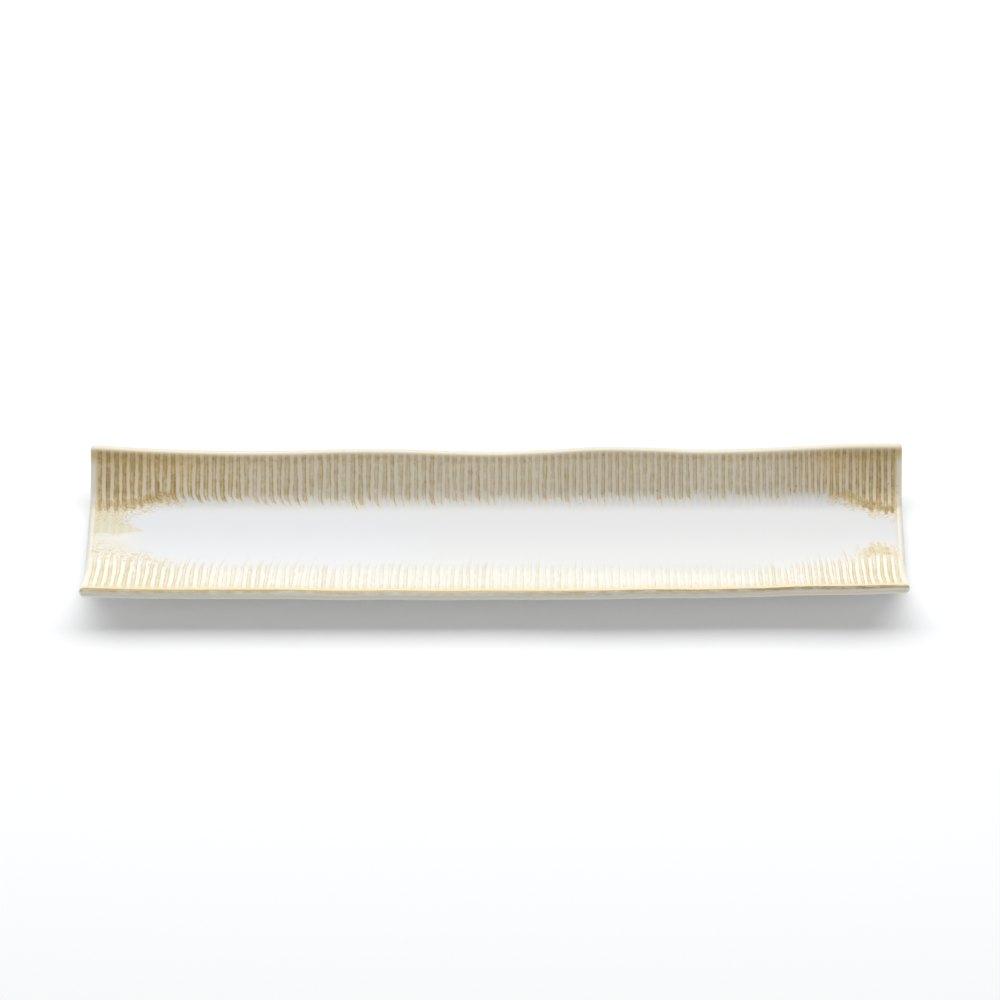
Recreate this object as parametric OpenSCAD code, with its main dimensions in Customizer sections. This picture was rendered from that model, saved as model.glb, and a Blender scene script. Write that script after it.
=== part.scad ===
// A long, open-ended serving plate for asparagus, one fired piece of stoneware.
// X runs along the plate, Y across it, Z up; the origin lies under its middle, on the table.

/* [Plate] */
// Length of the plate, end to end
plate_length = 400; // [340:5:460]
// Width at mid-length, across the outsides of the two rims
plate_width = 88; // [80:1:104]
// Depth of the trough at mid-length, from the crest of the rim down to the floor
trough_depth = 13; // [10:0.1:17]
// Thickness of the fired clay, which is also the width of the round rim
clay_thickness = 4.8; // [4.4:0.1:6.5]

/* [Trough] */
// Width of the flat part of the floor
floor_width = 30; // [24:1:34]
// Inside radius where the floor turns up into each wall
floor_fillet = 18; // [12:1:22]
// How far the hand-shaped rims lift at the corners above the rim at mid-length
rim_lift = 4; // [1:0.5:6]
// How far the far rim flares out at its corners, beyond its place at mid-length
rim_flare = 1.6; // [0:0.1:2.5]

/* [Ribs] */
// Average distance from rib to rib
rib_pitch = 3.65; // [3:0.05:5]
// Depth of the flutes between the ribs
flute_depth = 0.7; // [0.3:0.1:1.1]
// How narrow the ribs are beside the flutes; a higher number gives a sharper rib
rib_sharpness = 3; // [1.5:0.5:5]
// Width of the plain land between the first rib and the rounded edge of each end
end_land = 0.4; // [0.2:0.1:4]

/* [Foot] */
// Length of the foot ring, outside
foot_length = 356; // [260:2:370]
// Width of the foot ring, outside
foot_width = 34; // [30:1:40]
// Height of the foot ring below the body
foot_height = 2; // [1.5:0.1:4]
// Width of the ring where it joins the body
foot_root = 4.4; // [3.6:0.1:5.5]
// Width of the bare land that stands on the table
foot_land = 2.6; // [1.6:0.1:3.4]
// Corner radius of the ring, on its centreline
foot_corner = 10; // [6:0.5:12]

/* [Hidden] */
$fn = 48;

// Height of each rim above its height at mid-length, as shares of rim_lift,
// at even steps from the left end to the right end
far_rim_shares = [0.64, 0.24, 0.09, 0, 0.04, 0.15, 0.15, 0.04, -0.04,
                  0.13, 0.42, 0.35, 0.15, 0.26, 0.6, 1.04, 1.14];
near_rim_shares = [0.3, 0, -0.1, -0.1, -0.1, -0.3, -0.2, -0.3, -0.3,
                   -0.2, -0.1, 0, -0.1, 0, 0.25, 0.35, 0.6];
// How far each rim stands out beyond its place at mid-length, as shares of rim_flare
far_flare_shares = [1, 0.65, 0.2, 0, 0.1, 0.45, 0.45, 0.1, -0.1, 0.3, 0.85, 0.8, 0.45, 0.6, 0.9, 1, 1];
near_flare_shares = [0, 0, 0, 0, 0, 0, 0, 0, -0.2, -0.05, 0, -0.25, -0.5, -0.75, -1, -1.1, -1.25];
// Spacing of the ribs as shares of rib_pitch, at even steps from left to right
pitch_shares = [1.1, 1.1, 1.1, 1.05, 1, 0.95, 0.95, 0.8, 1];
// Flute depth from the fillet's foot up to the rim, as shares of flute_depth
flute_fade_shares = [0, 0.55, 1, 1, 0.85, 0];
// Places of the rows on the fillet and then on the straight wall, as shares of each
fillet_row_shares = [0, 0.5, 1];
wall_row_shares = [0.45, 0.86, 1];
// Places round the half circle of the rim and of the end edges, as shares of a right angle
rim_turn_shares = [0.5, 1, 1.5];
end_turn_shares = [0.35, 0.7, 0.93];

half_clay = clay_thickness / 2;
middle_floor_z = foot_height + half_clay;
usual_rim_y = plate_width / 2 - half_clay;
narrowest_rim_y = usual_rim_y + rim_flare * min(near_flare_shares);
largest_fillet_share = 0.9;
middle_fillet = min(floor_fillet + half_clay,
                    largest_fillet_share * (narrowest_rim_y - floor_width / 2));
fluted_length = plate_length - clay_thickness - 2 * end_land;

// The ribs come in groups, so that the coarse outside meets the fine inside
steps_per_rib = 4;
ribs_per_group = 4;
steps_per_group = steps_per_rib * ribs_per_group;
groups = round(fluted_length / rib_pitch / ribs_per_group);
ribs = groups * ribs_per_group;
steps = ribs * steps_per_rib;

// Smooth curve through a table of evenly spaced values, at a share of its length
function along(table, share) =
    let (last = len(table) - 1,
         place = min(max(share, 0), 1) * last,
         i = min(floor(place), last - 1),
         u = place - i,
         a = table[max(i - 1, 0)],
         b = table[i],
         c = table[i + 1],
         d = table[min(i + 2, last)])
    b + u * (c - a) / 2
      + u * u * (2 * a - 5 * b + 4 * c - d) / 2
      + u * u * u * (3 * b - 3 * c + d - a) / 2;

// Running totals of a list, starting from nothing
function totals(list) =
    [for (i = 0, sum = 0; i <= len(list); sum = sum + (i < len(list) ? list[i] : 0), i = i + 1) sum];

// Edges between ribs, from the left land to the right one
rib_weights = [for (k = [0 : ribs - 1]) along(pitch_shares, (k + 0.5) / ribs)];
rib_totals = totals(rib_weights);
function rib_edge(k) = fluted_length * (rib_totals[k] / rib_totals[ribs] - 0.5);
function step_x(j) =
    let (k = min(floor(j / steps_per_rib), ribs - 1))
    rib_edge(k) + (rib_edge(k + 1) - rib_edge(k)) * (j / steps_per_rib - k);
function flute(j) = 1 - pow(abs(cos(180 * j / steps_per_rib)), rib_sharpness);

// Place and height of the middle of the clay at a rim, side being 1 for far and -1 for near
function middle_rim_y(side, x) =
    usual_rim_y
    + rim_flare * along(side > 0 ? far_flare_shares : near_flare_shares, x / plate_length + 0.5);
function middle_rim_z(side, x) =
    middle_floor_z + trough_depth
    + rim_lift * along(side > 0 ? far_rim_shares : near_rim_shares, x / plate_length + 0.5);

// Slope of the wall that runs from the fillet to the rim, in degrees
function wall_slope(side, x) =
    let (across = middle_rim_y(side, x) - floor_width / 2,
         up = middle_rim_z(side, x) - middle_floor_z - middle_fillet)
    atan2(up, across) + asin(middle_fillet / norm([across, up]));

// A point of the cross-section, at a row of one side, set off from the middle of the clay
function row_point(side, row, x, offset) =
    let (slope = wall_slope(side, x),
         on_fillet = row < len(fillet_row_shares),
         turn = on_fillet ? slope * fillet_row_shares[row] : slope,
         y0 = floor_width / 2 + middle_fillet * sin(turn),
         z0 = middle_floor_z + middle_fillet * (1 - cos(turn)),
         y1 = middle_rim_y(side, x),
         z1 = middle_rim_z(side, x),
         share = on_fillet ? 0 : wall_row_shares[row - len(fillet_row_shares)])
    [x,
     side * (y0 + (y1 - y0) * share - offset * sin(turn)),
     z0 + (z1 - z0) * share + offset * cos(turn)];

// A point on the half circle of the rim, turned from inside to outside
function rim_point(side, turn_share, x, radius) =
    let (angle = wall_slope(side, x) + 90 - 90 * turn_share)
    [x,
     side * (middle_rim_y(side, x) + radius * cos(angle)),
     middle_rim_z(side, x) + radius * sin(angle)];

// The closed cross-section has these rows: inside from far to near, the near rim,
// outside from near to far, and the far rim
side_rows = len(flute_fade_shares);
inside_rows = 2 * side_rows + 1;
rim_rows = len(rim_turn_shares);
loop_rows = 2 * inside_rows + 2 * rim_rows;

function is_fine(r) = r < inside_rows && r != side_rows;

// Row r of the loop at x, with a flute of that depth and the clay as thin as the share
function loop_point(r, x, depth, share) =
    let (half = half_clay * share)
    r < inside_rows ? skin_point(r, x, half, depth)
    : r < inside_rows + rim_rows ? rim_point(-1, rim_turn_shares[r - inside_rows], x, half)
    : r < 2 * inside_rows + rim_rows ? skin_point(2 * inside_rows + rim_rows - 1 - r, x, -half, 0)
    : rim_point(1, 2 - rim_turn_shares[r - 2 * inside_rows - rim_rows], x, half);

function skin_point(i, x, offset, depth) =
    i == side_rows ? [x, 0, middle_floor_z + offset]
    : let (side = i < side_rows ? 1 : -1,
           row = i < side_rows ? side_rows - 1 - i : i - side_rows - 1)
      row_point(side, row, x, offset - depth * flute_fade_shares[row]);

// The end edges are rounded like the rims
function end_x(side, turn_share) = side * (plate_length / 2 - half_clay * (1 - sin(90 * turn_share)));
end_loops = len(end_turn_shares) + 1;
function end_place(side, e) = end_x(side, e == 0 ? 0 : end_turn_shares[e - 1]);
function end_thin(e) = e == 0 ? 1 : cos(90 * end_turn_shares[e - 1]);

row_counts = [for (r = [0 : loop_rows - 1]) is_fine(r) ? steps + 1 : groups + 1];
row_starts = totals(row_counts);
left_start = row_starts[loop_rows];
right_start = left_start + end_loops * loop_rows;

shell_points = concat(
    [for (r = [0 : loop_rows - 1])
        for (i = [0 : row_counts[r] - 1])
            let (j = is_fine(r) ? i : i * steps_per_group)
            loop_point(r, step_x(j), flute_depth * flute(j), 1)],
    [for (side = [-1, 1])
        for (e = [0 : end_loops - 1])
            for (r = [0 : loop_rows - 1])
                loop_point(r, end_place(side, e), 0, end_thin(e))]);

function next_row(r) = (r + 1) % loop_rows;
function quad(a, b, c, d) = [[a, b, c], [a, c, d]];

// Faces between two rows of the same density
function even_strip(a, b, count) =
    [for (i = [0 : count - 1])
        each quad(a + i, a + i + 1, b + i + 1, b + i)];

// Faces between a fine row and a coarse one; flip turns them over
function zip_strip(fine, coarse, flip) =
    [for (g = [0 : groups - 1])
        let (f = fine + g * steps_per_group,
             c = coarse + g,
             half = steps_per_group / 2)
        for (t = concat(
                [for (i = [0 : half - 1]) [f + i, f + i + 1, c]],
                [[f + half, c + 1, c]],
                [for (i = [half : steps_per_group - 1]) [f + i, f + i + 1, c + 1]]))
            flip ? [t[2], t[1], t[0]] : t];

function strip(r) =
    let (n = next_row(r), a = row_starts[r], b = row_starts[n])
    is_fine(r) == is_fine(n) ? even_strip(a, b, row_counts[r] - 1)
    : is_fine(r) ? zip_strip(a, b, false)
    : zip_strip(b, a, true);

// Vertex of loop e of an end, counting the last ribbed station as loop -1
function end_vertex(side, e, r) =
    e < 0 ? row_starts[r] + (side > 0 ? row_counts[r] - 1 : 0)
    : (side > 0 ? right_start : left_start) + e * loop_rows + r;
function turned(side, t) = side > 0 ? t : [for (f = t) [f[2], f[1], f[0]]];

function end_strips(side) =
    [for (e = [-1 : end_loops - 2])
        for (r = [0 : loop_rows - 1])
            let (n = next_row(r))
            each turned(side, quad(end_vertex(side, e, r), end_vertex(side, e + 1, r),
                                   end_vertex(side, e + 1, n), end_vertex(side, e, n)))];

// The narrow flat that is left on an end closes it, inside row to outside row
function end_cap(side) =
    let (last = end_loops - 1,
         outer = 2 * inside_rows + rim_rows - 1,
         near = inside_rows - 1)
    concat(
        [for (i = [0 : inside_rows - 2])
            each turned(side, quad(end_vertex(side, last, i), end_vertex(side, last, outer - i),
                                   end_vertex(side, last, outer - i - 1), end_vertex(side, last, i + 1)))],
        [for (k = [0 : rim_rows - 1])
            each turned(side, [[end_vertex(side, last, near), end_vertex(side, last, near + k + 2),
                                end_vertex(side, last, near + k + 1)]])],
        [for (k = [0 : rim_rows - 1])
            each turned(side, [[end_vertex(side, last, outer),
                                end_vertex(side, last, (outer + k + 2) % loop_rows),
                                end_vertex(side, last, outer + k + 1)]])]);

shell_faces = concat(
    [for (r = [0 : loop_rows - 1]) each strip(r)],
    end_strips(-1),
    end_strips(1),
    end_cap(-1),
    end_cap(1));

// The ribbed trough, with its rounded rims and ends
module trough() {
    color("ivory") polyhedron(points = shell_points, faces = shell_faces, convexity = 8);
}

// The section of the foot ring, from the table up into the clay
module foot_section() {
    buried = half_clay / 2;
    polygon([[-foot_land / 2, 0], [foot_land / 2, 0],
             [foot_root / 2, foot_height], [foot_root / 2, foot_height + buried],
             [-foot_root / 2, foot_height + buried], [-foot_root / 2, foot_height]]);
}

module foot_run(length) {
    rotate([90, 0, 0]) translate([0, 0, -length / 2]) linear_extrude(length) foot_section();
}

// The bare ring that the plate stands on
module foot_ring() {
    half_x = (foot_length - foot_root) / 2;
    half_y = (foot_width - foot_root) / 2;
    color("tan") union() {
        for (side = [-1, 1]) {
            translate([side * half_x, 0, 0]) foot_run(2 * (half_y - foot_corner));
            translate([0, side * half_y, 0]) rotate([0, 0, 90]) foot_run(2 * (half_x - foot_corner));
        }
        for (left = [0, 1], near = [0, 1])
            mirror([left, 0, 0]) mirror([0, near, 0])
                translate([half_x - foot_corner, half_y - foot_corner, 0])
                    rotate_extrude(angle = 90) translate([foot_corner, 0]) foot_section();
    }
}

// Only the far rim flares out at its corners, so half the flare brings the box's middle to the origin
module plate() {
    translate([0, -rim_flare / 2, 0]) union() {
        trough();
        foot_ring();
    }
}

plate();
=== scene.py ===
# %% [markdown]
# # A fluted stoneware plate for asparagus
#
# The plate is one long trough of fired clay, open at both ends. Its walls were fluted
# while the clay was soft, its rims wave a little because they were finished by hand, and
# a cream-white glaze ran off the walls and pooled on the floor. Where that glaze is thin
# it breaks to ochre and brown.
#
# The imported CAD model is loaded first. It fixes the size, so everything below is worked
# out from its box.

import math

import bpy
import numpy as np
from mathutils import Matrix, Vector


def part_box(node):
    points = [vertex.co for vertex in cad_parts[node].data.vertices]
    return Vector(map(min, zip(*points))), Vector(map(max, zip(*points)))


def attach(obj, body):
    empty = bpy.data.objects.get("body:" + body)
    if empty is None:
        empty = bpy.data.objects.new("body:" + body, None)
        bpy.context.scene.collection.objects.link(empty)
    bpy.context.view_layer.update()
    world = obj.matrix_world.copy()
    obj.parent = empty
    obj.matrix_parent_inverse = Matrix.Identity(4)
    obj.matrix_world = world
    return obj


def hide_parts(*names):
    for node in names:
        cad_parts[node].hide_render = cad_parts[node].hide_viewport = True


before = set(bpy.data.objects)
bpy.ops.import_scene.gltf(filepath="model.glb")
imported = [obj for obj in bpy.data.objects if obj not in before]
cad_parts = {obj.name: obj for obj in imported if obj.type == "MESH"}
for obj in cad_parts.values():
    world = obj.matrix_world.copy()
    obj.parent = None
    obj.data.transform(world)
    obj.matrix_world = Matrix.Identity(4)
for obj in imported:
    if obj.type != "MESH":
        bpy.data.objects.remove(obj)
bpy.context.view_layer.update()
low, high = (np.array(corner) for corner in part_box("plate"))
MM = 0.001
print("CAD box in mm", (low / MM).round(2), (high / MM).round(2))

# %% [markdown]
# ## The camera
#
# The photograph looks down at the plate from the front with a long lens, far away, so
# the far rim is hardly smaller than the near one. A camera could be pointed with a Track To
# constraint. Here its three axes are worked out from an azimuth, an elevation and a
# roll, because the picture is tilted by a degree and a constraint can't roll it.

# %% Place the camera
PHOTO_WIDTH = 1000
SENSOR_WIDTH = 36.0
LENS = 150.4
FARTHEST_SEEN = 50.0
CAMERA_DISTANCE = 2.042
CAMERA_ELEVATION = math.radians(54.3)
CAMERA_YAW = math.radians(-1.64)
CAMERA_ROLL = math.radians(1.27)
LOOK_AT = Vector((0, -0.0008, 0.010))
LOOK_AT_PIXEL = (495.0, 532.8)


def add_to_scene(name, data):
    """A new object that shows the data, linked into the scene."""
    thing = bpy.data.objects.new(name, data)
    bpy.context.scene.collection.objects.link(thing)
    return thing


def make_camera():
    """A camera whose picture holds LOOK_AT at LOOK_AT_PIXEL."""
    flat = math.cos(CAMERA_ELEVATION)
    to_target = Vector((math.sin(CAMERA_YAW) * flat, math.cos(CAMERA_YAW) * flat,
                        -math.sin(CAMERA_ELEVATION)))
    level = Vector((math.cos(CAMERA_YAW), -math.sin(CAMERA_YAW), 0))
    upward = level.cross(to_target)
    right = level * math.cos(CAMERA_ROLL) - upward * math.sin(CAMERA_ROLL)
    up = level * math.sin(CAMERA_ROLL) + upward * math.cos(CAMERA_ROLL)

    pixels = LENS / SENSOR_WIDTH * PHOTO_WIDTH
    middle = PHOTO_WIDTH / 2
    aim = to_target + right * (middle - LOOK_AT_PIXEL[0]) / pixels
    aim = (aim + up * (LOOK_AT_PIXEL[1] - middle) / pixels).normalized()
    right = (right - aim * right.dot(aim)).normalized()
    up = right.cross(aim)

    data = bpy.data.cameras.new("camera")
    data.lens = LENS
    data.sensor_width = SENSOR_WIDTH
    data.clip_end = FARTHEST_SEEN
    camera = add_to_scene("camera", data)
    turn = Matrix((right, up, -aim)).transposed().to_4x4()
    camera.matrix_world = Matrix.Translation(LOOK_AT - to_target * CAMERA_DISTANCE) @ turn
    bpy.context.scene.camera = camera
    return camera


camera = make_camera()
print("camera at", [round(c, 3) for c in camera.matrix_world.translation])

# %% [markdown]
# ## The shape of the trough
#
# In cross-section the plate is a strip of clay of even thickness: a flat floor, a fillet,
# a straight wall and a half-round rim on each side. It could be an extruded curve with
# a bevel, but then the rims could not wave and the walls could not be fluted. So the
# section is a function of the place along the plate, and the mesh is woven from many
# such sections.

# %% The plate's own sizes, in metres
LENGTH, WIDTH, HEIGHT = high - low
CLAY = 4.8 * MM
HALF_CLAY = CLAY / 2
FOOT_HEIGHT = 2 * MM
FLOOR_HALF = 15 * MM
FILLET = 18 * MM + HALF_CLAY
TROUGH_DEPTH = 13 * MM
RIM_LIFT = 4 * MM
RIM_FLARE = 1.6 * MM
RIM_PLACE = (WIDTH - RIM_FLARE) / 2 - HALF_CLAY
FLOOR_MIDDLE_Y = -RIM_FLARE / 2
print("clay", round(CLAY / MM, 2), "mm, rims", round(2 * RIM_PLACE / MM, 2), "mm apart")

# %% [markdown]
# ## Where the ribs stand
#
# The flutes were cut one after another by eye, so they stand a little wider apart at
# the left end. A short table of pitches, evenly spaced from left to right, says so. Every
# rib gets the same number of stations, and the ends get a few more, close together, that
# round their edges.

# %% Stations along the plate
RIBS = 108
STEPS_PER_RIB = 8
END_LAND = HALF_CLAY + 0.4 * MM
END_TURNS = np.radians([0, 22, 42, 60, 75, 86])
PITCH_SHARES = [1.1, 1.1, 1.1, 1.05, 1, 0.95, 0.95, 0.8, 1]


def along(table, share):
    """A smooth curve through evenly spaced values, read at a share of its length."""
    table = np.asarray(table, float)
    last = len(table) - 1
    place = np.clip(share, 0, 1) * last
    i = np.minimum(np.floor(place).astype(int), last - 1)
    u = place - i
    a, b = table[np.maximum(i - 1, 0)], table[i]
    c, d = table[i + 1], table[np.minimum(i + 2, last)]
    return (b + u * (c - a) / 2 + u ** 2 * (2 * a - 5 * b + 4 * c - d) / 2
            + u ** 3 * (3 * b - 3 * c + d - a) / 2)


rib_weights = along(PITCH_SHARES, (np.arange(RIBS) + 0.5) / RIBS)
rib_edges = np.concatenate([[0], np.cumsum(rib_weights)]) / rib_weights.sum() - 0.5
rib_edges = rib_edges * (LENGTH - 2 * END_LAND)
rib_numbers = np.arange(RIBS * STEPS_PER_RIB + 1) / STEPS_PER_RIB
station_x = np.interp(rib_numbers, np.arange(RIBS + 1), rib_edges)

end_x = LENGTH / 2 - HALF_CLAY * (1 - np.sin(END_TURNS))
station_x = np.concatenate([-end_x[::-1], station_x, end_x])
station_rib = np.interp(station_x, rib_edges, np.arange(RIBS + 1))
station_clay = np.concatenate([np.cos(END_TURNS)[::-1], np.ones(len(rib_numbers)),
                               np.cos(END_TURNS)])
pitches = np.diff(rib_edges) / MM
print(len(station_x), "stations, rib pitch", round(float(pitches.min()), 2), "to",
      round(float(pitches.max()), 2), "mm")

# %% [markdown]
# ## One section of the clay
#
# A section is a closed loop of rows: over the floor and walls, round the near rim, back
# along the underside and round the far rim. Each row also knows how far it lies from the
# middle of the floor, measured along the clay. The glaze needs that later: it is what
# a drip feels as it runs down.
#
# The rims wave by hand. Each has a table of heights and one of outward places, evenly
# spaced from left to right, as shares of the rim's lift and flare.

# %% Rows of a section
STRETCHES = {"floor": 4, "fillet": 7, "wall": 13}
RIM_ROWS = 7
FAR_RIM_SHARES = [0.64, 0.24, 0.09, 0, 0.04, 0.15, 0.15, 0.04, -0.04, 0.13, 0.42, 0.35, 0.15,
                  0.26, 0.6, 1.04, 1.14]
NEAR_RIM_SHARES = [0.3, 0, -0.1, -0.1, -0.1, -0.3, -0.2, -0.3, -0.3, -0.2, -0.1, 0, -0.1, 0,
                   0.25, 0.35, 0.6]
FAR_FLARE_SHARES = [1, 0.65, 0.2, 0, 0.1, 0.45, 0.45, 0.1, -0.1, 0.3, 0.85, 0.8, 0.45, 0.6,
                    0.9, 1, 1]
NEAR_FLARE_SHARES = [0, 0, 0, 0, 0, 0, 0, 0, -0.2, -0.05, 0, -0.25, -0.5, -0.75, -1, -1.1,
                     -1.25]


def side_rows():
    """Rows of one side, from the floor's edge to the rim: kind of stretch and place in it."""
    return [(kind, (i + 1) / count) for kind, count in STRETCHES.items() for i in range(count)]


def rim_place(side, x):
    """How far from the middle line the middle of the clay is at a rim."""
    table = FAR_FLARE_SHARES if side > 0 else NEAR_FLARE_SHARES
    return RIM_PLACE + RIM_FLARE * along(table, x / LENGTH + 0.5)


def rim_height(side, x):
    """Height of the middle of the clay at a rim; side is 1 for far and -1 for near."""
    table = FAR_RIM_SHARES if side > 0 else NEAR_RIM_SHARES
    return FOOT_HEIGHT + HALF_CLAY + TROUGH_DEPTH + RIM_LIFT * along(table, x / LENGTH + 0.5)


def wall_slope(side, x):
    """Slope of the straight wall in radians."""
    across = rim_place(side, x) - FLOOR_HALF
    up = rim_height(side, x) - FOOT_HEIGHT - HALF_CLAY - FILLET
    return np.arctan2(up, across) + np.arcsin(FILLET / np.hypot(across, up))


def clay_row(side, row, x):
    """Middle of the clay at a row: y, z, slope and distance from the floor's middle."""
    kind, share = row
    slope = wall_slope(side, x)
    floor_z = FOOT_HEIGHT + HALF_CLAY
    if kind == "floor":
        y = FLOOR_HALF * share + 0 * x
        return y, floor_z + 0 * x, 0 * x, y
    turn = slope * (share if kind == "fillet" else 1)
    y = FLOOR_HALF + FILLET * np.sin(turn)
    z = floor_z + FILLET * (1 - np.cos(turn))
    run = FLOOR_HALF + FILLET * turn
    if kind == "wall":
        y1, z1 = rim_place(side, x), rim_height(side, x)
        run = run + share * np.hypot(y1 - y, z1 - z)
        y, z = y + (y1 - y) * share, z + (z1 - z) * share
    return y, z, turn, run


for side, name in ((1, "far"), (-1, "near")):
    print(name, "wall slopes by", round(float(np.degrees(wall_slope(side, 0.0))), 1), "degrees")

# %% [markdown]
# ## The flutes
#
# Each flute was drawn down the wall with a small loop tool. It starts just under the rim,
# is deepest on the wall and fades where the pooled glaze fills it. No two are quite
# alike, so each gets its own depth and leans a little. The same numbers that press
# the flute into the mesh are stored on it as attributes, so the glaze's colours can
# follow the clay exactly.

# %% Depth of the flutes
FLUTE_SEED = 7
FLUTE_DEPTH = 0.7 * MM
SHALLOWEST = 0.82
LEAN_SPREAD, LEAN_PIVOT, LEAN_RUN = 0.035, 32, 14
WANDER, WANDER_PER_MM, WANDER_PER_FLUTE = 0.035, 0.21, 1.7
STRAIGHT_AT_ENDS = 1.2
CREST_POWER = 3
FADE_IN_START, FADE_IN_END = 3 * MM, 13 * MM
LIP_FADE = 3.2 * MM
rng = np.random.default_rng(FLUTE_SEED)
flute_strength = rng.uniform(SHALLOWEST, 1.0, RIBS + 2)
flute_lean = rng.normal(0, LEAN_SPREAD, RIBS + 2)


def smooth(low_edge, high_edge, value):
    """0 below low_edge, 1 above high_edge and a soft curve between them."""
    t = np.clip((value - low_edge) / (high_edge - low_edge), 0, 1)
    return t * t * (3 - 2 * t)


def flute_phase(x_rib, run):
    """Rib number with each flute's own lean, so that whole numbers are crests."""
    index = np.clip(x_rib, 0, RIBS).round().astype(int)
    wander = WANDER * np.sin(run / MM * WANDER_PER_MM + index * WANDER_PER_FLUTE)
    wander = wander + flute_lean[index] * (run / MM - LEAN_PIVOT) / LEAN_RUN
    inside = smooth(0, STRAIGHT_AT_ENDS, x_rib) * smooth(0, STRAIGHT_AT_ENDS, RIBS - x_rib)
    return x_rib + wander * inside


def flute_cut(rib, run, below_rim):
    """How deep the clay is cut, from 0 on a crest to 1 in the middle of a flute."""
    groove = 1 - np.abs(np.cos(np.pi * rib)) ** CREST_POWER
    strength = flute_strength[np.clip(np.floor(rib), 0, RIBS).astype(int)]
    fade = smooth(FADE_IN_START, FADE_IN_END, run - FLOOR_HALF) * smooth(0, LIP_FADE, below_rim)
    return groove * strength * fade


depths = flute_strength * FLUTE_DEPTH / MM
print("flutes", round(float(depths.min()), 2), "to", round(float(depths.max()), 2), "mm deep")

# %% [markdown]
# ## Unwrapping
#
# The looks can be baked into a texture. An automatic unwrap would cut the long trough
# into slanted islands. This one cuts it in two halves, left and right, and lays them one
# above the other, so that the flutes run straight across the texture. The inside of the
# trough gets more of the texture than the underside, because that is what people see.

# %% Unwrap the skin of the trough
BAKE_EDGE = 0.006
HALF_BAND = 0.48
INSIDE_SHARE = 0.7


def unwrap(mesh, grid, inner):
    """A UV map of the woven skin, and a thin strip of it for the two end faces."""
    stations, loop = grid.shape[:2]
    run = np.concatenate([[0], np.cumsum(np.hypot(np.diff(station_x),
                                                  HALF_CLAY * np.diff(station_clay)))])
    half = stations // 2
    steps = np.linalg.norm(np.roll(grid[half], -1, axis=0) - grid[half], axis=1)
    outside = np.arange(loop) >= inner + RIM_ROWS // 2
    outside &= np.arange(loop) < 2 * inner + RIM_ROWS + RIM_ROWS // 2
    for part, share in ((~outside, INSIDE_SHARE), (outside, 1 - INSIDE_SHARE)):
        steps[part] *= share / steps[part].sum()
    around = np.concatenate([[0], np.cumsum(steps)])

    corner_vertex = np.zeros(len(mesh.loops), int)
    mesh.loops.foreach_get("vertex_index", corner_vertex)
    uv = np.zeros((len(mesh.loops), 2))
    skin = (stations - 1) * loop * 4
    station, row = np.divmod(np.arange((stations - 1) * loop), loop)
    room = 1 - 2 * BAKE_EDGE
    for corner, (ahead, beside) in enumerate(((0, 0), (1, 0), (1, 1), (0, 1))):
        right = station >= half
        start = np.where(right, run[half], 0)
        length = np.where(right, run[-1] - run[half], run[half])
        u = BAKE_EDGE + room * (run[station + ahead] - start) / length
        v = BAKE_EDGE + (HALF_BAND - BAKE_EDGE) * around[row + beside]
        uv[corner:skin:4] = np.stack([u, np.where(right, v, 1 - v)], 1)

    place = grid.reshape(-1, 3)[corner_vertex[skin:]]
    left = place[:, 0] < 0
    uv[skin:, 0] = BAKE_EDGE + room * (place[:, 1] / WIDTH + 0.5)
    strip = (0.5 - HALF_BAND) / 2 * place[:, 2] / HEIGHT
    uv[skin:, 1] = 0.5 + np.where(left, strip + BAKE_EDGE / 3, -strip - BAKE_EDGE / 3)
    layer = mesh.uv_layers.new(name="OFBake")
    layer.data.foreach_set("uv", uv.astype(np.float32).ravel())


# %% [markdown]
# ## Weaving
#
# Every row of the section becomes a line of points along the plate. Inside, the flutes
# are pressed in and the pooled glaze is laid on. With each point go three numbers for the
# glaze: its girth, which is the way along the clay from the floor's middle, how far it is
# below the rim, which is less than 0 on the outside, and its place among the ribs.

# %% Lines of points along the plate
POOL_GIRTH = 42 * MM
POOL_THICKNESS = [0, 0.055 * MM, 0.22 * MM, 0.36 * MM, 0.34 * MM, 0.18 * MM, 0]
ROUND_RIM = math.pi * HALF_CLAY


def point_line(y, z, girth, below, rib):
    """Points at all stations, and what the glaze needs to know at each."""
    level = 0 * station_x
    points = np.stack([station_x, y + FLOOR_MIDDLE_Y + level, z + level], 1)
    return points, np.stack([girth + level, below + level, rib + level], 1)


def run_to_rim(side):
    return clay_row(side, ("wall", 1.0), station_x)[3]


def skin_line(side, row, inside):
    """A row of the floor, fillet or wall, on the inside or the outside."""
    y, z, turn, run = clay_row(side, row, station_x)
    to_rim = run_to_rim(side)
    rib = flute_phase(station_rib, run)
    offset = HALF_CLAY * station_clay * (1 if inside else -1)
    girth, below = 2 * to_rim + ROUND_RIM - run, run - to_rim - ROUND_RIM
    if inside:
        girth, below = run, to_rim - run
        on_ribs = (station_rib > 0) & (station_rib < RIBS)
        offset = offset - FLUTE_DEPTH * flute_cut(rib, run, below) * on_ribs
        offset = offset + along(POOL_THICKNESS, run / POOL_GIRTH) * station_clay
    return point_line(side * (y - offset * np.sin(turn)), z + offset * np.cos(turn),
                      side * girth, below, rib)


def floor_line(inside):
    """The row down the middle of the floor."""
    to_rim = run_to_rim(1)
    offset = HALF_CLAY * station_clay * (1 if inside else -1)
    girth = 0.0 if inside else 2 * to_rim + ROUND_RIM
    below = to_rim if inside else -to_rim - ROUND_RIM
    return point_line(0.0, FOOT_HEIGHT + HALF_CLAY + offset, girth, below, station_rib)


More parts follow.
